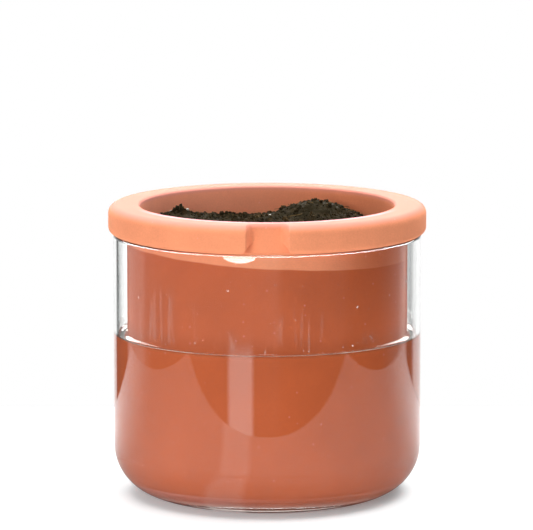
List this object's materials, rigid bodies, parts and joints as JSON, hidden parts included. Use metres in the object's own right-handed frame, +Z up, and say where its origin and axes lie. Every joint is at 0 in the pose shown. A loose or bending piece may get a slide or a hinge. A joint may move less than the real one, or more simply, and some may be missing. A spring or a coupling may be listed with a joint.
{
  "type": "self-watering planter",
  "caption": "Clay pot hanging by its rim in a clear glass cylinder of water, with a pouring notch in the rim and soil inside; the pot lifts out of the glass",
  "frame": {"origin": "centre of the glass's foot, on the surface that the planter stands on", "axes": "+Z up along the axis of the glass and the pot; the pouring notch in the rim faces -Y"},
  "size_m": [0.18, 0.1788, 0.1655],
  "materials": {
    "clear_glass": "polished",
    "terracotta": "matte",
    "water": "polished",
    "soil": "matte"
  },
  "bodies": {
    "vessel": {"glass_vessel": "clear_glass", "reservoir_water": "water"},
    "pot": {"terracotta_pot": "terracotta"},
    "soil": {"potting_soil": "soil"}
  },
  "joints": [
    {"name": "pot_lift", "type": "slide", "parent": "vessel", "child": "pot", "axis": [0, 0, 1], "range_m": [0, 0.16]},
    {"name": "soil_lift", "type": "slide", "parent": "pot", "child": "soil", "axis": [0, 0, 1], "range_m": [0, 0.165]}
  ]
}
